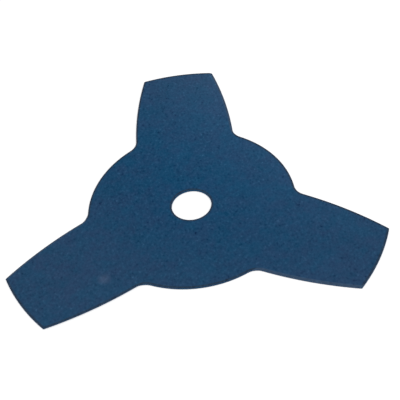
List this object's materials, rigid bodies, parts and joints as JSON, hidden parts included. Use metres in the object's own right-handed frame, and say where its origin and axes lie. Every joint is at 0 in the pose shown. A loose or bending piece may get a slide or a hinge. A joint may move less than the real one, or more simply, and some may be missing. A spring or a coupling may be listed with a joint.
{
  "type": "brush cutter blade",
  "caption": "Flat round-bodied steel brush cutter blade with blunt bowed teeth, wide root fillets, narrow ground cutting edges and a central one-inch bore.",
  "frame": {"origin": "middle of the bore, in the plane of the blade's underside", "axes": "+Z along the spindle, from the underside to the top face; +Y along the middle of one tooth"},
  "size_m": [0.2364, 0.2072, 0.0014],
  "materials": {
    "blue_lacquer": "satin dark blue lacquer over sheet steel, fine-grained, darker along the rim"
  },
  "bodies": {
    "root": {"blade": "blue_lacquer"}
  },
  "joints": []
}
